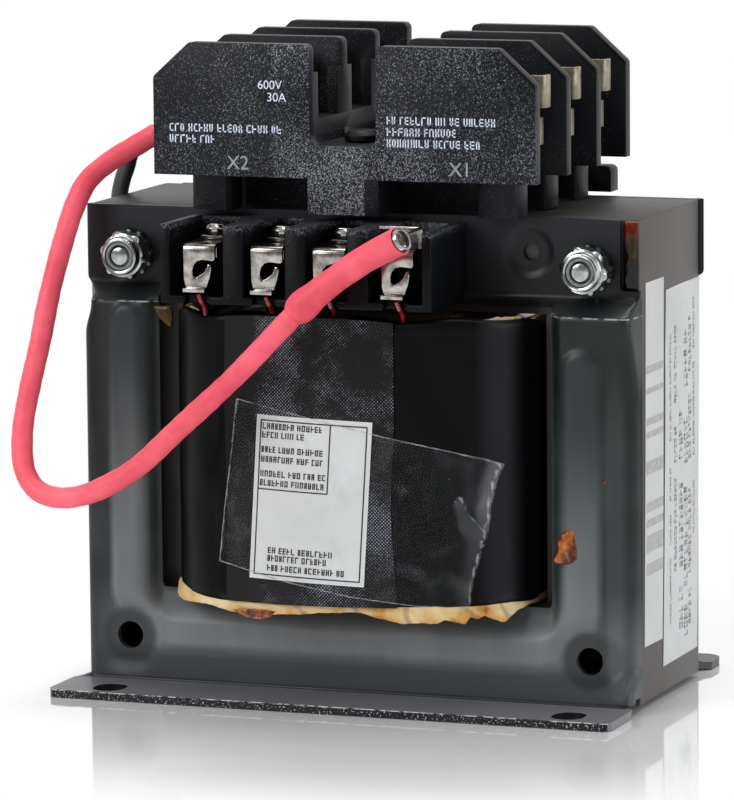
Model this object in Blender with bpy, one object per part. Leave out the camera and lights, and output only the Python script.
# Open-frame control transformer with a three-pole fuse block on top.
# Origin on the floor below the middle of the core; +X along its width, +Y to the rear, +Z up.
import math

import bmesh
import bpy
from mathutils import Matrix, Vector

MM = 0.001

# Clearance that seated pieces keep from each other
SEAT = 0.3 * MM

# Laminated core
LEG_WIDTH = 38.1 * MM
OUTER_LEG = 19.05 * MM
YOKE = 19.05 * MM
STACK = 38.1 * MM
CORE_LIFT = 1.1 * MM
CORE_HOLE_R = 2.75 * MM

# Coil, built up in layers around the centre leg
COIL_WINDOW_H = 57.15 * MM
TUBE_WALL = 1.15 * MM
INNER_WINDING = 7.6 * MM
OUTER_WINDING = 6.5 * MM
PAPER_LAYER = 0.9 * MM
TAPE_LAYER = 0.9 * MM
COIL_SIDE_GAP = 0.5 * MM
COIL_CROWN = 1.2 * MM
COIL_CORNER_R = 0.6 * MM
TUBE_END_GAP = 0.6 * MM
PAPER_END_GAP = 0.4 * MM
WINDING_MARGIN = 3.2 * MM
TAPE_MARGIN = 2.3 * MM

# Pressed end frames
SHEET = 1.6 * MM
FRAME_OVERHANG = 0.75 * MM
PAN_RISE = 5.45 * MM
BAND_H = 15.15 * MM
LEDGE_H = 3.2 * MM
PAN_CORNER_R = 1.7 * MM
FRONT_FLANGE = 14.7 * MM
REAR_FLANGE = 9.1 * MM
FLANGE_CORNER_R = 3.5 * MM
BEND_R = 1.2 * MM
FRAME_WINDOW_SIDE = 2.9 * MM
FRAME_SILL = 0.25 * MM
FRAME_WINDOW_HEAD = 0.9 * MM
FRAME_WINDOW_CHAMFER = 0.8 * MM
BEAD_RISE = 0.9 * MM
BEAD_HALF_W = 3.4 * MM
BEAD_FROM_EDGE = 10.6 * MM
BEAD_LOW = 11.3 * MM
BEAD_END_DROP = 7.0 * MM
BEAD_CORNER_R = 10.0 * MM
HOLE_DIMPLE_R = 5.6 * MM
HOLE_DIMPLE_DEPTH = 0.25 * MM
BAND_NOTCH_W = 4.1 * MM
BAND_DIMPLE_X = 35.5 * MM
BAND_DIMPLE_DROP = 6.8 * MM
BAND_DIMPLE_R = 4.8 * MM
BAND_DIMPLE_DEPTH = 0.6 * MM
BAND_DIMPLE_HOLE_R = 1.6 * MM
FLANGE_SLOT_L = 6.4 * MM
FLANGE_SLOT_EDGE = 1.7 * MM
FLANGE_SLOT_W = 5.2 * MM
FRONT_SLOT_EXTRA = 2.4 * MM

# Through bolts and their nuts
BOLT_FROM_SIDE = 9.15 * MM
BOLT_R = 2.08 * MM
BOLT_TIP = 0.8 * MM
HEAD_AF = 8.7 * MM
HEAD_H = 3.2 * MM
NUT_AF = 8.7 * MM
NUT_HEX_H = 3.9 * MM
NUT_COLLAR_H = 1.7 * MM
NUT_COLLAR_R = 3.7 * MM
NUT_LIP = 0.5 * MM
WASHER_R = 4.7 * MM
WASHER_T = 1.0 * MM
WASHER_TEETH = 12
WASHER_TOOTH = 0.6 * MM

# Fuse block moulding
POLES = 3
CHANNEL_W = 15.84 * MM
BLOCK_WALL = 2.8 * MM
BLOCK_LENGTH = 79.2 * MM
FOOT_H = 6.95 * MM
BLOCK_WALL_H = 26.1 * MM
CHAMFER_X = 7.64 * MM
CHAMFER_Z = 6.84 * MM
NOTCH_W = 13.9 * MM
NOTCH_FLOOR = 6.4 * MM
CHANNEL_FLOOR = 3.5 * MM
DECK_H = 11.2 * MM
DECK_END = 22.0 * MM
RIB_T = 2.4 * MM
RIB_L = 2.2 * MM
RIB_TOP = 20.4 * MM
CENTRE_BLOCK_W = 14.7 * MM
FOOT_OUTER_X = 34.1 * MM
FOOT_SHIFT = 1.1 * MM
FOOT_L = 8.7 * MM
FOOT_D = 7.8 * MM
REAR_FOOT_X = 37.0 * MM
REAR_FOOT_L = 10.6 * MM
REAR_FOOT_D = 4.6 * MM
REAR_FOOT_H = 5.2 * MM
REAR_FOOT_NECK = 5.0 * MM
BASE_WEB_T = 2.0 * MM
BASE_WEB_Y = 16.0 * MM
FLOOR_SHORT = 6.6 * MM
BLOCK_EDGE_R = 1.2 * MM
NOTCH_ROOT_R = 2.0 * MM
BLOCK_SCREW_R = 1.9 * MM
BLOCK_SCREW_HEAD_R = 3.4 * MM
BLOCK_SCREW_HEAD_H = 2.0 * MM
BLOCK_SCREW_L = 9.0 * MM

# Fuse clips and push-on tabs
FUSE_R = 5.15 * MM
CLIP_T = 0.7 * MM
CLIP_L = 7.6 * MM
CLIP_X = 17.0 * MM
CLIP_NECK_ANGLE = 48.0
CLIP_FOOT_ANGLE = 62.0
CLIP_FLARE = 2.4 * MM
CLIP_SLIT = 0.8 * MM
TAB_T = 0.8 * MM
TAB_H = 6.35 * MM
TAB_LOW_H = 5.3 * MM
TAB_GAP = 2.0 * MM
TAB_TOP_X = 37.8 * MM
TAB_LOW_X = 36.3 * MM
TAB_RETURN = 1.9 * MM
TAB_LOW_Z = 6.6 * MM
STRAP_HALF_W = 3.2 * MM
STRAP_INNER_X = 12.4 * MM

# Terminal strips
STRIP_X = -33.8 * MM
TERMINAL_PITCH = 12.9 * MM
END_BAY = 11.2 * MM
BARRIER_T = 4.1 * MM
END_WALL_T = 1.9 * MM
STRIP_H = 15.5 * MM
STRIP_DROP = 1.15 * MM
STRIP_BACK_T = 2.8 * MM
STRIP_DEPTH = 19.8 * MM
STRIP_REBATE = 1.7 * MM
STRIP_FLOOR_T = 1.4 * MM
STRIP_FLOOR_SLOT = 5.0 * MM
ROOF_T = 1.6 * MM
ROOF_FRONT = 6.0 * MM
ROOF_SPREAD = 2.1 * MM
FRONT_TERMINALS = 4
REAR_TERMINALS = 2
HOOK_W = 6.6 * MM
HOOK_T = 0.8 * MM
HOOK_TOP = 4.4 * MM
HOOK_DROP = 8.6 * MM
HOOK_BACKSET = 1.6 * MM
HOOK_LIP = 2.0 * MM
HOOK_EYE_R = 1.75 * MM
SCREW_BACKSET = 10.6 * MM
SCREW_R = 1.0 * MM
SCREW_HEAD_R = 2.0 * MM
SCREW_HEAD_H = 1.7 * MM
SCREW_BELOW = 3.0 * MM
PLATE_HALF = 2.3 * MM
PLATE_T = 0.7 * MM

# Leads
LEAD_R = 2.1 * MM
DARK_LEAD_R = 1.7 * MM
COIL_WIRE_R = 0.45 * MM
SLEEVE_R = 2.9 * MM
SLEEVE_WALL = 0.42 * MM
SLEEVE_L = 27.0 * MM
BARREL_R = 2.15 * MM
BARREL_WALL = 0.4 * MM
BARREL_L = 4.2 * MM
BARREL_SHOW = 0.9 * MM
TONGUE_T = 0.5 * MM
CONNECTOR_WALL = 0.8 * MM
CONNECTOR_L = 10.5 * MM

# Route of the red jumper lead, from the fuse block's left end round to the last front terminal, in mm
RED_ROUTE = [
    (-43.3, -18.2, 110.6), (-45.4, -19.1, 109.3), (-48.6, -20.4, 107.3), (-52.3, -22.0, 104.9), (-56.0, -24.5, 101.2),
    (-57.9, -27.0, 96.1), (-59.0, -29.5, 90.4), (-60.2, -32.0, 83.3), (-60.9, -34.5, 76.8),
    (-61.6, -36.5, 70.0), (-62.8, -39.0, 61.5), (-63.4, -41.5, 53.5), (-62.4, -43.5, 46.4),
    (-59.2, -45.0, 42.3), (-54.5, -46.0, 41.0), (-49.3, -46.5, 41.6), (-43.4, -47.0, 43.9),
    (-36.3, -47.0, 48.3), (-27.6, -47.0, 56.2), (-17.0, -47.0, 65.7), (-10.7, -47.0, 71.9),
    (-4.8, -47.0, 77.9), (-1.0, -47.0, 81.6), (3.9, -47.0, 85.5), (10.1, -47.1, 89.8), (14.4, -47.4, 92.2),
    (16.6, -48.0, 93.3), (18.8, -48.6, 94.4),
]

# Route of the dark lead, from the middle pole round the left side to the rear terminals, in mm
DARK_ROUTE = [
    (-43.1, 0.9, 110.7), (-46.5, 0.9, 109.6), (-51.6, 1.0, 107.9), (-55.3, 1.0, 106.3), (-57.3, 1.0, 104.2),
    (-58.2, 1.2, 101.6), (-59.6, 1.8, 98.4), (-61.2, 4.0, 94.4), (-62.0, 8.0, 90.6), (-61.6, 15.0, 87.4),
    (-59.4, 23.0, 86.0), (-54.0, 30.5, 85.2), (-47.0, 36.6, 84.9), (-40.5, 41.8, 85.1), (-34.6, 44.8, 85.8),
    (-29.0, 45.3, 86.7), (-26.6, 43.2, 87.1), (-26.2, 40.1, 87.1),
]

# Sizes that follow from the driving dimensions
COIL_BUILD = TUBE_WALL + INNER_WINDING + OUTER_WINDING + PAPER_LAYER + TAPE_LAYER + 4 * SEAT
WINDOW_W = SEAT + COIL_BUILD + COIL_SIDE_GAP
CORE_W = LEG_WIDTH + 2 * (WINDOW_W + OUTER_LEG)
CORE_H = COIL_WINDOW_H + 2 * YOKE
CORE_TOP = CORE_LIFT + CORE_H
CORE_MID_Z = CORE_LIFT + CORE_H / 2
BOLT_X = CORE_W / 2 - BOLT_FROM_SIDE
BOLT_Z = CORE_TOP - YOKE / 2
LOW_HOLE_Z = CORE_LIFT + YOKE / 2
FRAME_BACK = STACK / 2 + SEAT
BAND_FACE = FRAME_BACK + SHEET
PAN_FACE = BAND_FACE + PAN_RISE
LEDGE_TOP = CORE_TOP - BAND_H
PAN_TOP = LEDGE_TOP - LEDGE_H
BEAD_TOP = PAN_TOP - BEAD_END_DROP
FRAME_WINDOW_LOW = CORE_LIFT + YOKE + FRAME_SILL
FRAME_HALF = CORE_W / 2 + FRAME_OVERHANG
FRAME_WINDOW_HALF = LEG_WIDTH / 2 + WINDOW_W + FRAME_WINDOW_SIDE
BLOCK_Z0 = CORE_TOP + SEAT
WALL_Z0 = BLOCK_Z0 + FOOT_H
BLOCK_TOP = WALL_Z0 + BLOCK_WALL_H
POLE_PITCH = CHANNEL_W + BLOCK_WALL
BLOCK_DEPTH = POLES * POLE_PITCH + BLOCK_WALL
FLOOR_Z = WALL_Z0 + CHANNEL_FLOOR
DECK_Z = WALL_Z0 + DECK_H
NOTCH_Z = WALL_Z0 + NOTCH_FLOOR
STRAP_Z = DECK_Z + SEAT
CLIP_MID_R = FUSE_R + CLIP_T / 2
FUSE_Z = STRAP_Z + TAB_T + SEAT + CLIP_T / 2 + CLIP_MID_R * math.sin(math.radians(CLIP_FOOT_ANGLE))
TAB_LOW = WALL_Z0 + TAB_LOW_Z
TAB_HIGH = TAB_LOW + TAB_LOW_H + TAB_GAP
STRIP_TOP = CORE_TOP - STRIP_DROP
STRIP_BACK = BAND_FACE + SEAT
STRIP_FACE = STRIP_BACK + STRIP_DEPTH
HOOK_FACE = STRIP_FACE - HOOK_BACKSET
HOOK_Z = STRIP_TOP - HOOK_TOP


def clear_scene():
    for obj in list(bpy.data.objects):
        bpy.data.objects.remove(obj, do_unlink=True)


def make_material(name, colour, roughness, metallic=0.0):
    mat = bpy.data.materials.new(name)
    mat.use_nodes = True
    shader = mat.node_tree.nodes["Principled BSDF"]
    shader.inputs["Base Color"].default_value = (*colour, 1.0)
    shader.inputs["Roughness"].default_value = roughness
    shader.inputs["Metallic"].default_value = metallic
    return mat


def add_object(name, mesh, mat=None):
    obj = bpy.data.objects.new(name, mesh)
    bpy.context.collection.objects.link(obj)
    if mat is not None:
        mesh.materials.clear()
        mesh.materials.append(mat)
    return obj


def mesh_from_bmesh(name, bm):
    bmesh.ops.recalc_face_normals(bm, faces=bm.faces)
    mesh = bpy.data.meshes.new(name)
    bm.to_mesh(mesh)
    bm.free()
    return mesh


# A flat outline drawn in two of the three axes becomes a point in space through this
def place(axis, u, v, w):
    if axis == "X":
        return Vector((w, u, v))
    if axis == "Y":
        return Vector((u, w, v))
    return Vector((u, v, w))


def prism(name, outline, axis, low, high):
    bm = bmesh.new()
    ends = [[bm.verts.new(place(axis, u, v, w)) for u, v in outline] for w in (low, high)]
    count = len(outline)
    for i in range(count):
        j = (i + 1) % count
        bm.faces.new((ends[0][i], ends[0][j], ends[1][j], ends[1][i]))
    bm.faces.new(list(reversed(ends[0])))
    bm.faces.new(ends[1])
    return add_object(name, mesh_from_bmesh(name, bm))


def box(name, low, high):
    outline = [(low[0], low[1]), (high[0], low[1]), (high[0], high[1]), (low[0], high[1])]
    return prism(name, outline, "Z", low[2], high[2])


# Turned piece: a closed profile of (radius, height) pairs spun about an axis through the centre
def turned(name, profile, axis, centre, sides=24):
    bm = bmesh.new()
    rings = []
    for radius, height in profile:
        ring = []
        for k in range(sides):
            angle = 2 * math.pi * k / sides
            point = place(axis, radius * math.cos(angle), radius * math.sin(angle), height)
            ring.append(bm.verts.new(point + Vector(centre)))
        rings.append(ring)
    for a, b in zip(rings, rings[1:]):
        for k in range(sides):
            m = (k + 1) % sides
            bm.faces.new((a[k], a[m], b[m], b[k]))
    bm.faces.new(list(reversed(rings[0])))
    bm.faces.new(rings[-1])
    return add_object(name, mesh_from_bmesh(name, bm))


def rod(name, axis, centre, radius, low, high, sides=24):
    return turned(name, [(radius, low), (radius, high)], axis, centre, sides)


def regular_outline(centre, radius, sides, turn=0.0):
    step = 2 * math.pi / sides
    return [
        (centre[0] + radius * math.cos(turn + k * step), centre[1] + radius * math.sin(turn + k * step))
        for k in range(sides)
    ]


# Outline whose corners are given as (u, v, radius) and drawn as arcs
def rounded_outline(corners, steps=3):
    outline = []
    count = len(corners)
    for i, (u, v, radius) in enumerate(corners):
        here = Vector((u, v))
        if radius <= 0:
            outline.append((u, v))
            continue
        back = (Vector(corners[i - 1][:2]) - here).normalized()
        ahead = (Vector(corners[(i + 1) % count][:2]) - here).normalized()
        half = back.angle(ahead) / 2
        reach = radius / math.tan(half)
        centre = here + (back + ahead).normalized() * (radius / math.sin(half))
        start = here + back * reach - centre
        sweep = start.angle_signed(here + ahead * reach - centre)
        for k in range(steps + 1):
            turn = -sweep * k / steps
            c, s = math.cos(turn), math.sin(turn)
            outline.append((centre.x + start.x * c - start.y * s, centre.y + start.x * s + start.y * c))
    return outline


# Open path moved sideways by a distance, with mitred corners
def offset_path(path, distance):
    points = [Vector(p) for p in path]
    result = []
    for i, here in enumerate(points):
        before = (here - points[i - 1]).normalized() if i > 0 else None
        after = (points[i + 1] - here).normalized() if i < len(points) - 1 else None
        before = after if before is None else before
        after = before if after is None else after
        normal = Vector((-before.y, before.x)) + Vector((-after.y, after.x))
        normal.normalize()
        stretch = 1 / max(0.3, normal.dot(Vector((-before.y, before.x))))
        moved = here + normal * distance * stretch
        result.append((moved.x, moved.y))
    return result


# Strip of sheet metal seen from its edge: a centre line given a thickness
def strip_outline(path, thickness):
    return offset_path(path, thickness / 2) + list(reversed(offset_path(path, -thickness / 2)))


def arc(centre, radius, start, end, steps):
    return [
        (
            centre[0] + radius * math.cos(math.radians(start + (end - start) * k / steps)),
            centre[1] + radius * math.sin(math.radians(start + (end - start) * k / steps)),
        )
        for k in range(steps + 1)
    ]


def combine(target, tool, operation):
    mod = target.modifiers.new(operation.lower(), "BOOLEAN")
    mod.operation = operation
    mod.solver = "EXACT"
    mod.object = tool
    bpy.context.view_layer.update()
    graph = bpy.context.evaluated_depsgraph_get()
    mesh = bpy.data.meshes.new_from_object(target.evaluated_get(graph))
    target.modifiers.clear()
    old = target.data
    target.data = mesh
    bpy.data.meshes.remove(old)
    bpy.data.objects.remove(tool, do_unlink=True)
    return target


def cut(target, *tools):
    for tool in tools:
        combine(target, tool, "DIFFERENCE")
    return target


def join(target, *tools):
    for tool in tools:
        combine(target, tool, "UNION")
    return target


def finish(obj, mat, smooth_angle=35):
    bm = bmesh.new()
    bm.from_mesh(obj.data)
    bmesh.ops.remove_doubles(bm, verts=bm.verts, dist=0.00001)
    bmesh.ops.dissolve_degenerate(bm, edges=bm.edges, dist=0.00001)
    bm.to_mesh(obj.data)
    bm.free()
    obj.data.materials.clear()
    obj.data.materials.append(mat)
    obj.data.shade_smooth()
    obj.data.set_sharp_from_angle(angle=math.radians(smooth_angle))
    return obj


def copy_of(source, name, mat, matrix):
    mesh = source.data.copy()
    mesh.transform(matrix)
    if matrix.determinant() < 0:
        mesh.flip_normals()
    obj = add_object(name, mesh, mat)
    return obj


def smooth_route(points, spacing):
    line = [Vector(p) * MM for p in points]
    ends = [line[0] * 2 - line[1]] + line + [line[-1] * 2 - line[-2]]
    dense = []
    for a, b, c, d in zip(ends, ends[1:], ends[2:], ends[3:]):
        for k in range(12):
            t = k / 12
            dense.append(
                0.5 * ((2 * b) + (c - a) * t + (2 * a - 5 * b + 4 * c - d) * t * t
                       + (3 * b - a - 3 * c + d) * t ** 3)
            )
    dense.append(line[-1])
    length = sum((b - a).length for a, b in zip(dense, dense[1:]))
    steps = max(2, round(length / spacing))
    route = [dense[0]]
    walked = 0.0
    for a, b in zip(dense, dense[1:]):
        piece = (b - a).length
        while len(route) < steps and walked + piece >= len(route) * length / steps:
            share = (len(route) * length / steps - walked) / piece
            route.append(a.lerp(b, share))
        walked += piece
    route.append(dense[-1])
    return route


# Round tube along a route, as a curve with a bevel and filled caps
def cord(name, route, radius, mat, sides_resolution=2):
    curve = bpy.data.curves.new(name, "CURVE")
    curve.dimensions = "3D"
    curve.bevel_depth = radius
    curve.bevel_resolution = sides_resolution
    curve.use_fill_caps = True
    spline = curve.splines.new("POLY")
    spline.points.add(len(route) - 1)
    for point, place_at in zip(spline.points, route):
        point.co = (*place_at, 1.0)
    obj = bpy.data.objects.new(name, curve)
    bpy.context.collection.objects.link(obj)
    curve.materials.append(mat)
    return obj


# Hollow sleeve along a route: outer and inner walls joined by a ring at each end
def hollow_sleeve(name, route, outer, inner, mat, sides=16):
    bm = bmesh.new()
    rings = {outer: [], inner: []}
    for i, here in enumerate(route):
        ahead = route[min(i + 1, len(route) - 1)] - route[max(i - 1, 0)]
        turn = ahead.to_track_quat("Z", "Y").to_matrix()
        for radius in rings:
            ring = []
            for k in range(sides):
                angle = 2 * math.pi * k / sides
                ring.append(bm.verts.new(here + turn @ Vector((radius * math.cos(angle), radius * math.sin(angle), 0))))
            rings[radius].append(ring)
    for radius in rings:
        for a, b in zip(rings[radius], rings[radius][1:]):
            for k in range(sides):
                m = (k + 1) % sides
                bm.faces.new((a[k], a[m], b[m], b[k]))
    for end in (0, -1):
        for k in range(sides):
            m = (k + 1) % sides
            bm.faces.new((rings[outer][end][k], rings[outer][end][m], rings[inner][end][m], rings[inner][end][k]))
    return finish(add_object(name, mesh_from_bmesh(name, bm)), mat)


# Lamination stack with its two windows and the four corner holes
def make_core(mat):
    half_w, half_d = CORE_W / 2, STACK / 2
    core = box("core_laminations", (-half_w, -half_d, CORE_LIFT), (half_w, half_d, CORE_TOP))
    window_low, window_high = CORE_LIFT + YOKE, CORE_TOP - YOKE
    for side in (-1, 1):
        near, far = sorted((side * LEG_WIDTH / 2, side * (LEG_WIDTH / 2 + WINDOW_W)))
        cut(core, box("window", (near, -STACK, window_low), (far, STACK, window_high)))
        for z in (LOW_HOLE_Z, BOLT_Z):
            cut(core, rod("hole", "Y", (side * BOLT_X, 0, z), CORE_HOLE_R, -STACK, STACK))
    return finish(core, mat)


# Plan outline of one coil layer, at a given build-up from the centre leg
def coil_outline(build, steps=5):
    half_x = LEG_WIDTH / 2 + SEAT + build
    half_y = STACK / 2 + SEAT + build
    radius = COIL_CORNER_R + build
    crown = COIL_CROWN * build / COIL_BUILD
    corner = arc((half_x - radius, half_y - radius), radius, 0, 90, steps)
    flat = half_x - radius
    flat_steps = 4
    across = [
        (flat * (1 - 2 * k / flat_steps), half_y + crown * (1 - (1 - 2 * k / flat_steps) ** 2))
        for k in range(1, flat_steps)
    ]
    upper = corner + across + [(-x, y) for x, y in reversed(corner)]
    return upper + [(-x, -y) for x, y in upper]


# Hollow layer of the coil, between two build-ups
def make_layer(name, inner, outer, margin, mat):
    low = CORE_LIFT + YOKE + margin
    high = CORE_TOP - YOKE - margin
    bm = bmesh.new()
    loops = []
    for build in (inner, outer):
        outline = coil_outline(build)
        loops.append([[bm.verts.new((x, y, z)) for x, y in outline] for z in (low, high)])
    count = len(loops[0][0])
    for i in range(count):
        j = (i + 1) % count
        for loop in loops:
            bm.faces.new((loop[0][i], loop[0][j], loop[1][j], loop[1][i]))
        for end in (0, 1):
            bm.faces.new((loops[0][end][i], loops[0][end][j], loops[1][end][j], loops[1][end][i]))
    return finish(add_object(name, mesh_from_bmesh(name, bm)), mat)


def make_coil(mats):
    layers = [
        ("winding_tube", TUBE_WALL, TUBE_END_GAP, "tube"),
        ("inner_winding", INNER_WINDING, WINDING_MARGIN, "copper"),
        ("outer_winding", OUTER_WINDING, WINDING_MARGIN, "copper"),
        ("layer_paper", PAPER_LAYER, PAPER_END_GAP, "paper"),
        ("coil_wrap", TAPE_LAYER, TAPE_MARGIN, "tape"),
    ]
    build = 0.0
    for name, thickness, margin, mat in layers:
        make_layer(name, build, build + thickness, margin, mats[mat])
        build += thickness + SEAT


# Raised bead on the frame: a U along both legs and the foot, with round ends
def bead_outline():
    leg_x = FRAME_HALF - BEAD_FROM_EDGE
    corner = (leg_x - BEAD_CORNER_R, BEAD_LOW + BEAD_CORNER_R)
    half_path = [(leg_x, BEAD_TOP)] + arc(corner, BEAD_CORNER_R, 0, -90, 5)
    path = half_path + [(-x, z) for x, z in reversed(half_path)]
    left = offset_path(path, BEAD_HALF_W)
    right = offset_path(path, -BEAD_HALF_W)
    cap_right = arc((leg_x, BEAD_TOP), BEAD_HALF_W, 180, 0, 5)[1:-1]
    cap_left = arc((-leg_x, BEAD_TOP), BEAD_HALF_W, 180, 0, 5)[1:-1]
    return left + cap_left + list(reversed(right)) + cap_right


def make_bead():
    bead = prism("bead", bead_outline(), "Y", -PAN_FACE - BEAD_RISE, -PAN_FACE + SHEET / 2)
    bm = bmesh.new()
    bm.from_mesh(bead.data)
    front = [e for e in bm.edges if all(v.co.y < -PAN_FACE - BEAD_RISE / 2 for v in e.verts)]
    bmesh.ops.bevel(bm, geom=front, offset=BEAD_RISE * 0.8, segments=1, affect="EDGES")
    bm.to_mesh(bead.data)
    bm.free()
    return bead


# Two corner edges that run along Z are rounded
def round_upright_edges(obj, chooser, radius, segments):
    bm = bmesh.new()
    bm.from_mesh(obj.data)
    edges = [
        e for e in bm.edges
        if abs(e.verts[0].co.x - e.verts[1].co.x) < 1e-7
        and abs(e.verts[0].co.y - e.verts[1].co.y) < 1e-7
        and chooser(e.verts[0].co)
    ]
    bmesh.ops.bevel(bm, geom=edges, offset=radius, segments=segments, affect="EDGES", profile=0.5)
    bm.to_mesh(obj.data)
    bm.free()


# Pressed steel end frame: a shallow pan over the coil, a recessed band above, a foot flange below
def make_frame(name, flange_depth, slot_width, mat):
    tray_low = SHEET + BEND_R * 1.8
    face = [(-PAN_FACE, tray_low), (-PAN_FACE, PAN_TOP), (-BAND_FACE, LEDGE_TOP), (-BAND_FACE, CORE_TOP)]
    shell = prism(name, face + [(-FRAME_BACK, CORE_TOP), (-FRAME_BACK, tray_low)], "X", -FRAME_HALF, FRAME_HALF)
    round_upright_edges(shell, lambda p: p.y < -PAN_FACE + SEAT / 10, PAN_CORNER_R, 3)
    inner = offset_path(face, -SHEET)
    slope = (inner[2][1] - inner[1][1]) / (inner[2][0] - inner[1][0])
    hollow_top = inner[1][1] + slope * (-FRAME_BACK + SEAT - inner[1][0])
    hollow = [(inner[0][0], 0), inner[1], (-FRAME_BACK + SEAT, hollow_top), (-FRAME_BACK + SEAT, 0)]
    cut(shell, prism("hollow", hollow, "X", -FRAME_HALF + SHEET, FRAME_HALF - SHEET))
    edge = -(PAN_FACE + flange_depth)
    mid = SHEET / 2
    centre = (-PAN_FACE - BEND_R, SHEET + BEND_R)
    foot_path = [(edge, mid)] + arc(centre, BEND_R + mid, -90, 0, 5) + [(-PAN_FACE + mid, tray_low + 4 * SHEET)]
    foot = prism("foot", strip_outline(foot_path, SHEET), "X", -FRAME_HALF, FRAME_HALF)
    round_upright_edges(foot, lambda p: p.y < edge + SEAT, FLANGE_CORNER_R, 3)
    join(shell, foot, make_bead())
    cut_frame_openings(shell, edge, slot_width)
    return finish(shell, mat)


def cut_frame_openings(shell, edge, slot_width):
    deep = -FRAME_BACK + SEAT
    proud = -PAN_FACE - 2 * BEAD_RISE
    half = FRAME_WINDOW_HALF
    low, high = FRAME_WINDOW_LOW, LEDGE_TOP - FRAME_WINDOW_HEAD
    cut(shell, box("window", (-half, proud, low), (half, deep, high)))
    c = FRAME_WINDOW_CHAMFER
    lip = [(-half - c, low - c), (half + c, low - c), (half + c, high), (-half - c, high)]
    inner_lip = [(-half + c, low + c), (half - c, low + c), (half - c, high), (-half + c, high)]
    cut(shell, tapered("lip", lip, inner_lip, -PAN_FACE, -PAN_FACE + 2 * c))
    for side in (-1, 1):
        x = side * BOLT_X
        dimple_low = -PAN_FACE + HOLE_DIMPLE_DEPTH
        cut(
            shell,
            rod("dimple", "Y", (x, 0, LOW_HOLE_Z), HOLE_DIMPLE_R, proud, dimple_low),
            rod("low_hole", "Y", (x, 0, LOW_HOLE_Z), CORE_HOLE_R, proud, deep),
            rod("bolt_hole", "Y", (x, 0, BOLT_Z), BOLT_R + SEAT, proud, deep),
            prism("slot", slot_outline(x, edge, slot_width), "Z", -SHEET, 2 * SHEET),
        )
    dimple_z = CORE_TOP - BAND_DIMPLE_DROP
    cut(
        shell,
        rod("dimple", "Y", (BAND_DIMPLE_X, 0, dimple_z), BAND_DIMPLE_R, proud, -BAND_FACE + BAND_DIMPLE_DEPTH),
        rod("hole", "Y", (BAND_DIMPLE_X, 0, dimple_z), BAND_DIMPLE_HOLE_R, proud, deep),
        box("band_end", (FRAME_HALF - BAND_NOTCH_W, proud, LEDGE_TOP + SEAT), (FRAME_HALF + SHEET, deep, CORE_TOP + SHEET)),
    )


# Block whose front outline is larger than its rear one
def tapered(name, front_outline, rear_outline, front_y, rear_y):
    bm = bmesh.new()
    front = [bm.verts.new((x, front_y, z)) for x, z in front_outline]
    rear = [bm.verts.new((x, rear_y, z)) for x, z in rear_outline]
    count = len(front)
    for i in range(count):
        j = (i + 1) % count
        bm.faces.new((front[i], front[j], rear[j], rear[i]))
    bm.faces.new(list(reversed(front)))
    bm.faces.new(rear)
    return add_object(name, mesh_from_bmesh(name, bm))


def slot_outline(x, edge, width):
    half_l = FLANGE_SLOT_L / 2
    near = edge + FLANGE_SLOT_EDGE
    radius = min(width, FLANGE_SLOT_L) * 0.45
    corners = [
        (x - half_l, near, radius), (x + half_l, near, radius),
        (x + half_l, near + width, radius), (x - half_l, near + width, radius),
    ]
    return rounded_outline(corners)


# Hexagon across two flats with its corners turned off
def hex_block(name, x, z, across, low, high, chamfer_at_low, chamfer_at_high):
    body = prism(name, regular_outline((x, z), across / math.sqrt(3), 6), "Y", low, high)
    turned_off = across * 0.07
    profile = [(across * 0.53 if chamfer_at_low else across, low)]
    profile.append((across * 0.60, low + turned_off))
    profile.append((across * 0.60, high - turned_off))
    profile.append((across * 0.53 if chamfer_at_high else across, high))
    round_limit = turned("limit", profile, "Y", (x, 0, z))
    return combine(body, round_limit, "INTERSECT")


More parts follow.
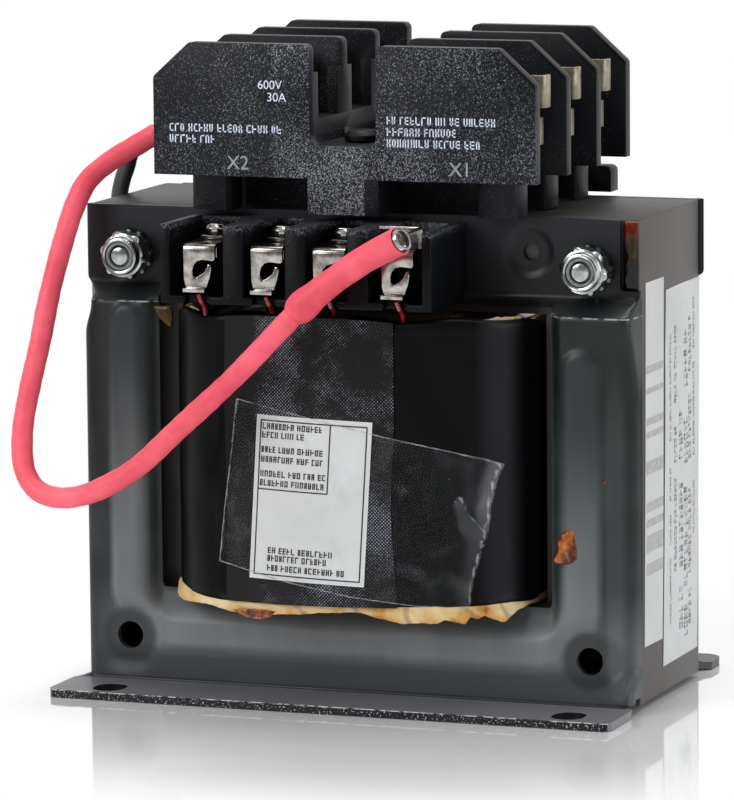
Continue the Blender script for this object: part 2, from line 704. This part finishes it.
def make_bolt_sets(mats):
    front_seat = -(BAND_FACE + SEAT)
    washer_front = front_seat - WASHER_T
    nut_rear = washer_front - SEAT
    nut_front = nut_rear - NUT_HEX_H - NUT_COLLAR_H
    head_seat = BAND_FACE + SEAT
    for side, label in ((-1, "left"), (1, "right")):
        x, z = side * BOLT_X, BOLT_Z
        bolt = hex_block("through_bolt_" + label, x, z, HEAD_AF, head_seat, head_seat + HEAD_H, False, True)
        tip = nut_front + NUT_LIP
        shank = [(BOLT_R - BOLT_TIP / 2, tip), (BOLT_R, tip + BOLT_TIP), (BOLT_R, head_seat + HEAD_H / 2)]
        join(bolt, turned("shank", shank, "Y", (x, 0, z)))
        finish(bolt, mats["zinc"])

        washer_outline = []
        for k in range(WASHER_TEETH * 4):
            radius = WASHER_R if k % 4 < 2 else WASHER_R - WASHER_TOOTH
            angle = 2 * math.pi * k / (WASHER_TEETH * 4)
            washer_outline.append((x + radius * math.cos(angle), z + radius * math.sin(angle)))
        washer = prism("tooth_washer_" + label, washer_outline, "Y", washer_front, front_seat)
        cut(washer, rod("bore", "Y", (x, 0, z), BOLT_R + SEAT, washer_front - SHEET, front_seat + SHEET))
        finish(washer, mats["zinc"])

        nut = hex_block("lock_nut_" + label, x, z, NUT_AF, nut_rear - NUT_HEX_H, nut_rear, True, True)
        collar = [
            (NUT_COLLAR_R - NUT_LIP, nut_front), (NUT_COLLAR_R, nut_front + NUT_LIP),
            (NUT_COLLAR_R, nut_rear - NUT_HEX_H / 2),
        ]
        join(nut, turned("collar", collar, "Y", (x, 0, z)))
        dish = [
            (NUT_COLLAR_R - 2 * NUT_LIP, nut_front - SHEET), (NUT_COLLAR_R - 2 * NUT_LIP, nut_front + NUT_LIP),
        ]
        cut(
            nut,
            turned("dish", dish, "Y", (x, 0, z)),
            rod("bore", "Y", (x, 0, z), BOLT_R + SEAT, nut_front - SHEET, nut_rear + SHEET),
        )
        finish(nut, mats["zinc"])


def channel_centre(pole):
    return (pole - (POLES - 1) / 2) * POLE_PITCH


# One moulding: four notched walls, three channels, decks for the clips, and its feet
def make_block(mat):
    half, top = BLOCK_LENGTH / 2, BLOCK_TOP
    notch, edge, root = NOTCH_W / 2, BLOCK_EDGE_R, NOTCH_ROOT_R
    profile = rounded_outline([
        (-half, WALL_Z0, 0), (half, WALL_Z0, 0),
        (half, top - CHAMFER_Z, edge), (half - CHAMFER_X, top, edge),
        (notch, top, edge), (notch, NOTCH_Z, root), (-notch, NOTCH_Z, root), (-notch, top, edge),
        (-half + CHAMFER_X, top, edge), (-half, top - CHAMFER_Z, edge),
    ])
    block = prism("fuse_block_body", profile, "Y", -BLOCK_DEPTH / 2, BLOCK_DEPTH / 2)
    for pole in range(POLES):
        y = channel_centre(pole)
        low, high = y - CHANNEL_W / 2, y + CHANNEL_W / 2
        cut(block, box("channel", (-half - SHEET, low, FLOOR_Z), (half + SHEET, high, top + SHEET)))
        for side in (-1, 1):
            open_end = sorted((side * (half - FLOOR_SHORT), side * (half + SHEET)))
            cut(block, box("open_end", (open_end[0], low, WALL_Z0 - SHEET), (open_end[1], high, FLOOR_Z + SHEET)))
        for side in (-1, 1):
            deck = sorted((side * notch, side * DECK_END))
            join(block, box("deck", (deck[0], low - SEAT, FLOOR_Z - SEAT), (deck[1], high + SEAT, DECK_Z)))
            rib = sorted((side * notch, side * (notch + RIB_L)))
            for near, far in ((low - SEAT, low + RIB_T), (high - RIB_T, high + SEAT)):
                join(block, box("rib", (rib[0], near, DECK_Z - SEAT), (rib[1], far, WALL_Z0 + RIB_TOP)))
    add_block_base(block)
    return finish(block, mat)


def add_block_base(block):
    centre = CENTRE_BLOCK_W / 2
    half_depth = BLOCK_DEPTH / 2
    join(block, box("centre", (-centre, -half_depth, BLOCK_Z0), (centre, half_depth, NOTCH_Z)))
    for side in (-1, 1):
        edges = sorted((FOOT_SHIFT + side * (FOOT_OUTER_X - FOOT_L), FOOT_SHIFT + side * FOOT_OUTER_X))
        for pole in range(POLES):
            front = channel_centre(pole) - POLE_PITCH / 2 + BLOCK_WALL / 4
            corners = [(edges[0], front), (edges[1], front), (edges[1], front + FOOT_D), (edges[0], front + FOOT_D)]
            outline = rounded_outline([(x, y, FOOT_D * 0.28) for x, y in corners])
            join(block, prism("foot", outline, "Z", BLOCK_Z0, WALL_Z0 + SEAT))
        inner, outer = side * (REAR_FOOT_X - REAR_FOOT_L), side * REAR_FOOT_X
        neck, low_top = inner + side * REAR_FOOT_NECK, BLOCK_Z0 + REAR_FOOT_H
        foot = rounded_outline([
            (inner, BLOCK_Z0, 0), (outer, BLOCK_Z0, 0), (outer, low_top, BLOCK_EDGE_R), (neck, low_top, 0),
            (neck, WALL_Z0 + SEAT, 0), (inner, WALL_Z0 + SEAT, 0),
        ][::side])
        join(block, prism("rear_foot", foot, "Y", half_depth - REAR_FOOT_D, half_depth))
        web = sorted((side * (centre - SEAT), side * (FOOT_OUTER_X - FOOT_L)))
        join(block, box("web", (web[0], -BASE_WEB_Y, BLOCK_Z0), (web[1], -BASE_WEB_Y + BASE_WEB_T, WALL_Z0 + SEAT)))
    for pole in (0, POLES - 1):
        y = channel_centre(pole)
        bottom = NOTCH_Z - BLOCK_SCREW_L - SEAT
        cut(block, rod("screw_hole", "Z", (0, y, 0), BLOCK_SCREW_R + SEAT, bottom, NOTCH_Z + SHEET, 16))


def make_block_screws(mat):
    for pole, label in ((0, "front"), (POLES - 1, "rear")):
        seat = NOTCH_Z + SEAT
        head_low = BLOCK_SCREW_HEAD_R
        profile = [
            (BLOCK_SCREW_R, NOTCH_Z - BLOCK_SCREW_L), (BLOCK_SCREW_R, seat), (head_low, seat),
            (head_low, seat + BLOCK_SCREW_HEAD_H * 0.55), (head_low * 0.72, seat + BLOCK_SCREW_HEAD_H),
        ]
        screw = turned("block_screw_" + label, profile, "Z", (0, channel_centre(pole), 0), 16)
        slot_half = BLOCK_SCREW_R * 0.25
        y = channel_centre(pole)
        top = seat + BLOCK_SCREW_HEAD_H
        cut(screw, box("slot", (-head_low * 1.2, y - slot_half, top - slot_half * 2), (head_low * 1.2, y + slot_half, top + SHEET)))
        finish(screw, mat)


# Spring clip that grips the end of a fuse, drawn from its end and drawn out along the fuse
def make_clip(mat):
    wall = arc((0, FUSE_Z), CLIP_MID_R, CLIP_NECK_ANGLE, -CLIP_FOOT_ANGLE, 8)
    neck = wall[0]
    flare = (neck[0] + CLIP_FLARE * 0.55, neck[1] + CLIP_FLARE * 0.83)
    right = [flare] + wall
    path = right + [(-y, z) for y, z in reversed(right)]
    clip = prism("clip", strip_outline(path, CLIP_T), "X", -CLIP_L / 2, CLIP_L / 2)
    slit_low = FUSE_Z - CLIP_MID_R * 0.55
    cut(clip, box("slit", (-CLIP_SLIT / 2, -2 * FUSE_R, slit_low), (CLIP_SLIT / 2, 2 * FUSE_R, BLOCK_TOP)))
    return finish(clip, mat)


# Stamping that carries a clip on its strap and ends in two push-on tabs
def make_tab_stamping(mat):
    root = DECK_END + SEAT
    blade = root + TAB_T * 2
    strap = box(
        "tab", (STRAP_INNER_X, -STRAP_HALF_W, STRAP_Z), (root + TAB_T, STRAP_HALF_W, STRAP_Z + TAB_T),
    )
    join(strap, box("riser", (root, -TAB_T / 2, TAB_LOW), (blade + STRAP_HALF_W, TAB_T / 2, TAB_HIGH + TAB_H)))
    for reach, low, tall in ((TAB_LOW_X, TAB_LOW, TAB_LOW_H), (TAB_TOP_X, TAB_HIGH, TAB_H)):
        bend = (reach - TAB_T, TAB_T)
        path = [(blade, 0)] + arc(bend, TAB_T, -90, 0, 3) + [(reach, TAB_T + TAB_RETURN)]
        join(strap, prism("blade", strip_outline(path, TAB_T), "Z", low, low + tall))
    return finish(strap, mat)


def make_contacts(mats):
    clip = make_clip(mats["tin"])
    tab = make_tab_stamping(mats["tin"])
    for pole in range(POLES):
        y = channel_centre(pole)
        for side, label in ((-1, "left"), (1, "right")):
            at = Matrix.Translation((0, y, 0))
            mirror = Matrix.Diagonal((side, 1, 1, 1))
            shift = Matrix.Translation((side * CLIP_X, 0, 0))
            copy_of(clip, "fuse_clip_%d_%s" % (pole + 1, label), mats["tin"], at @ shift)
            copy_of(tab, "tab_terminal_%d_%s" % (pole + 1, label), mats["tin"], at @ mirror)
    bpy.data.objects.remove(clip, do_unlink=True)
    bpy.data.objects.remove(tab, do_unlink=True)


# Left and right edges of a strip's bays: the two at the ends are wider
def bay_edges(terminals):
    edges = []
    left = STRIP_X + END_WALL_T
    for index in range(terminals):
        width = END_BAY if index in (0, terminals - 1) else TERMINAL_PITCH - BARRIER_T
        edges.append((left, left + width))
        left += width + BARRIER_T
    return edges


# Moulded terminal strip, open to the front and the top between its barriers
def make_strip(name, terminals, mat):
    x0 = STRIP_X
    bays = bay_edges(terminals)
    x1 = bays[-1][1] + END_WALL_T
    low, high = STRIP_TOP - STRIP_H, STRIP_TOP
    front, back = -STRIP_FACE, -STRIP_BACK
    strip = box(name, (x0, front, low), (x1, back, high))
    bay_back = back - STRIP_BACK_T
    cut(strip, box("rebate", (x0 - SHEET, back - STRIP_REBATE, low - SHEET), (x1 + SHEET, 0, LEDGE_TOP + SEAT)))
    for left, right in bays:
        cut(strip, box("bay", (left, front - SHEET, low + STRIP_FLOOR_T), (right, bay_back, high + SHEET)))
        middle = (left + right) / 2
        half = STRIP_FLOOR_SLOT / 2
        cut(strip, box("wire_slot", (middle - half, front - SHEET, low - SHEET), (middle + half, front + half, high)))
    for (_, left), (right, _) in zip(bays, bays[1:]):
        spread, sink = ROOF_SPREAD, SEAT
        roof = [
            (left - spread, bay_back + sink), (left - spread, bay_back - ROOF_FRONT * 0.45),
            (left + sink, bay_back - ROOF_FRONT), (right - sink, bay_back - ROOF_FRONT),
            (right + spread, bay_back - ROOF_FRONT * 0.45), (right + spread, bay_back + sink),
        ]
        join(strip, prism("roof", roof, "Z", high - ROOF_T, high))
    return finish(strip, mat)


# Hook-shaped wire clip: a strap from the back wall, turned down in front, with an open eye and a lip
def make_hook(mat):
    strap = HOOK_FACE - HOOK_T / 2
    back = STRIP_BACK + STRIP_BACK_T + SEAT
    low = HOOK_Z - HOOK_DROP
    path = [(-back, HOOK_Z), (-strap + HOOK_T, HOOK_Z)]
    path += [(-strap + HOOK_T * 0.3, HOOK_Z - HOOK_T * 0.3), (-strap, HOOK_Z - HOOK_T)]
    path += [(-strap, low + HOOK_T), (-strap - HOOK_T * 0.3, low + HOOK_T * 0.3)]
    path += [(-strap - HOOK_LIP + HOOK_T, low)]
    half = HOOK_W / 2
    hook = prism("hook", strip_outline(path, HOOK_T), "X", -half, half)
    eye_z = HOOK_Z - HOOK_DROP * 0.43
    eye_x = half * 0.12
    front, rear = -HOOK_FACE - HOOK_LIP, -strap + SHEET
    eye = rod("eye", "Y", (eye_x, 0, eye_z), HOOK_EYE_R, front, rear, 16)
    mouth = box("mouth", (eye_x, front, eye_z - HOOK_EYE_R * 0.35), (half * 2, rear, eye_z + HOOK_EYE_R))
    corner = box("corner", (half * 0.72, front, low - HOOK_T), (half * 2, rear, low + HOOK_DROP * 0.2))
    hole_y = -(STRIP_FACE - SCREW_BACKSET)
    hole = rod("hole", "Z", (0, hole_y, 0), SCREW_R + SEAT, HOOK_Z - HOOK_T, HOOK_Z + HOOK_T, 12)
    cut(hook, eye, mouth, corner, hole)
    return finish(hook, mat)


# Clamp screw with its square pressure plate, standing on the hook's strap
def make_terminal_screw(mat):
    y = -(STRIP_FACE - SCREW_BACKSET)
    seat = HOOK_Z + HOOK_T / 2 + SEAT
    head = seat + PLATE_T + SEAT
    profile = [
        (SCREW_R, seat - HOOK_T - SCREW_BELOW), (SCREW_R, head), (SCREW_HEAD_R, head),
        (SCREW_HEAD_R, head + SCREW_HEAD_H * 0.6), (SCREW_HEAD_R * 0.7, head + SCREW_HEAD_H),
    ]
    screw = turned("screw", profile, "Z", (0, y, 0), 12)
    plate = box("plate", (-PLATE_HALF, y - PLATE_HALF, seat), (PLATE_HALF, y + PLATE_HALF, seat + PLATE_T))
    join(screw, plate)
    slot_half = SCREW_R * 0.3
    top = head + SCREW_HEAD_H
    cut(screw, box("slot", (-SCREW_HEAD_R * 1.2, y - slot_half, top - slot_half * 2), (SCREW_HEAD_R * 1.2, y + slot_half, top + SHEET)))
    return finish(screw, mat)


# Enamelled end of a winding, from the hook's lip down behind the tape to the coil's top
def coil_wire_route():
    lip_y = -(HOOK_FACE + HOOK_LIP - HOOK_T * 1.9)
    low = HOOK_Z - HOOK_DROP - HOOK_T / 2 - SEAT
    paper_y = -(STACK / 2 + SEAT + COIL_BUILD - TAPE_LAYER)
    top = CORE_TOP - YOKE - PAPER_END_GAP + SEAT
    points = [
        (0, lip_y, low), (0.3 * MM, lip_y + 0.3 * MM, low - 1.4 * MM),
        (0.5 * MM, (lip_y + paper_y) / 2, (low + top) / 2), (0.2 * MM, paper_y, top),
    ]
    return [Vector(p) / MM for p in points]


def make_terminals(mats):
    half_turn = Matrix.Rotation(math.pi, 4, "Z")
    flip = Matrix.Diagonal((-1, 1, 1, 1))
    hook = make_hook(mats["tin"])
    screw = make_terminal_screw(mats["nickel"])
    wire = smooth_route(coil_wire_route(), COIL_WIRE_R * 4)
    make_strip("front_terminal_strip", FRONT_TERMINALS, mats["phenolic"])
    rear_strip = make_strip("rear_terminal_strip", REAR_TERMINALS, mats["phenolic"])
    rear_strip.data.transform(half_turn @ flip)
    rear_strip.data.flip_normals()
    for count, label, turn in (
        (FRONT_TERMINALS, "front", Matrix.Identity(4)), (REAR_TERMINALS, "rear", half_turn @ flip),
    ):
        for index, (left, right) in enumerate(bay_edges(count)):
            number = "%s_%d" % (label, index + 1)
            at = turn @ Matrix.Translation(((left + right) / 2, 0, 0))
            copy_of(hook, "wire_hook_" + number, mats["tin"], at)
            copy_of(screw, "terminal_screw_" + number, mats["nickel"], at)
            cord("coil_wire_" + number, [at @ p for p in wire], COIL_WIRE_R, mats["enamel"])
    bpy.data.objects.remove(hook, do_unlink=True)
    bpy.data.objects.remove(screw, do_unlink=True)


# Push-on connector over a left-hand lower tab, open at both ends
def make_connector(name, pole, mat):
    y = channel_centre(pole)
    inner_y = (y - TAB_T / 2 - SEAT, y + TAB_T + TAB_RETURN + SEAT)
    inner_z = (TAB_LOW - SEAT, TAB_LOW + TAB_LOW_H + SEAT)
    wall = CONNECTOR_WALL
    reach = TAB_LOW_X + TAB_T / 2 + SEAT
    x_in, x_out = -(reach - TAB_H), -(reach - TAB_H + CONNECTOR_L)
    shell = box(name, (x_out, inner_y[0] - wall, inner_z[0] - wall), (x_in, inner_y[1] + wall, inner_z[1] + wall))
    cut(shell, box("cavity", (-reach, inner_y[0], inner_z[0]), (x_in + SHEET, inner_y[1], inner_z[1])))
    return finish(shell, mat)


# Crimp barrel at the jumper's front end, with its tongue bent back and down onto the last hook
def make_crimp(route, mat):
    ahead = (route[-1] - route[-2]).normalized()
    tip = route[-1] + ahead * BARREL_SHOW
    crimp = hollow_sleeve("crimp_terminal", [tip - ahead * BARREL_L, tip], BARREL_R, BARREL_R - BARREL_WALL, mat, 16)
    bay_right = bay_edges(FRONT_TERMINALS)[-1][1]
    rest = HOOK_Z + HOOK_T / 2 + SEAT + TONGUE_T / 2
    high = STRIP_TOP + SEAT + TONGUE_T / 2
    turn = -HOOK_FACE + HOOK_T
    screw_side = -(STRIP_FACE - SCREW_BACKSET) - PLATE_HALF - SEAT
    drop = [(turn, high), (turn + BARREL_R, rest), (screw_side, rest)]
    root = tip.y + BARREL_R - BARREL_WALL * 1.25
    neck_left = tip.x - BARREL_R * 0.13
    right = bay_right - 2 * SEAT
    wide_left = right - HOOK_W * 1.3
    join(
        crimp,
        prism("neck", strip_outline([(root, high)] + drop, TONGUE_T), "X", neck_left, right),
        prism("tongue", strip_outline([(turn - HOOK_T, high)] + drop, TONGUE_T), "X", wide_left, right),
    )
    return finish(crimp, mat)


# The last part of a route, no longer than a given length, and the part before it
def split_route(route, length):
    walked = 0.0
    for index in range(len(route) - 1, 0, -1):
        walked += (route[index] - route[index - 1]).length
        if walked >= length:
            return route[:index + 1], route[index:]
    return route, route


def make_leads(mats):
    make_connector("red_lead_connector", 0, mats["nylon"])
    make_connector("dark_lead_connector", 1, mats["nylon"])
    red = smooth_route(RED_ROUTE, LEAD_R * 2)
    before_barrel, _ = split_route(red, BARREL_L + SEAT)
    _, sleeve = split_route(red, SLEEVE_L)
    cord("red_lead", before_barrel, LEAD_R, mats["red"], 3)
    cord("dark_lead", smooth_route(DARK_ROUTE, DARK_LEAD_R * 3), DARK_LEAD_R, mats["dark"], 2)
    hollow_sleeve("lead_end_sleeve", sleeve, SLEEVE_R, SLEEVE_R - SLEEVE_WALL, mats["red"], 14)
    make_crimp(red, mats["tin"])


def make_materials():
    return {
        "steel": make_material("lamination_steel", (0.12, 0.12, 0.125), 0.5, 0.6),
        "frame": make_material("frame_steel", (0.05, 0.055, 0.055), 0.4, 0.5),
        "zinc": make_material("zinc_plate", (0.62, 0.64, 0.64), 0.28, 1.0),
        "nickel": make_material("nickel_plate", (0.60, 0.60, 0.57), 0.25, 1.0),
        "tin": make_material("tin_plate", (0.55, 0.54, 0.50), 0.3, 1.0),
        "phenolic": make_material("black_phenolic", (0.012, 0.012, 0.015), 0.4),
        "copper": make_material("enamelled_copper", (0.42, 0.12, 0.04), 0.35, 0.5),
        "enamel": make_material("red_enamel", (0.30, 0.02, 0.03), 0.3),
        "paper": make_material("kraft_paper", (0.62, 0.42, 0.16), 0.75),
        "tape": make_material("black_glass_tape", (0.012, 0.012, 0.013), 0.45),
        "tube": make_material("pressed_board", (0.10, 0.07, 0.04), 0.8),
        "red": make_material("red_silicone_sleeve", (0.78, 0.06, 0.10), 0.5),
        "dark": make_material("grey_lead_cover", (0.04, 0.04, 0.045), 0.5),
        "nylon": make_material("grey_nylon", (0.10, 0.10, 0.11), 0.5),
    }


def main():
    clear_scene()
    mats = make_materials()
    make_core(mats["steel"])
    make_coil(mats)
    make_frame("front_frame", FRONT_FLANGE, FLANGE_SLOT_W + FRONT_SLOT_EXTRA, mats["frame"])
    rear = make_frame("rear_frame", REAR_FLANGE, FLANGE_SLOT_W, mats["frame"])
    rear.rotation_euler.z = math.pi
    make_bolt_sets(mats)
    make_block(mats["phenolic"])
    make_block_screws(mats["zinc"])
    make_contacts(mats)
    make_terminals(mats)
    make_leads(mats)


main()
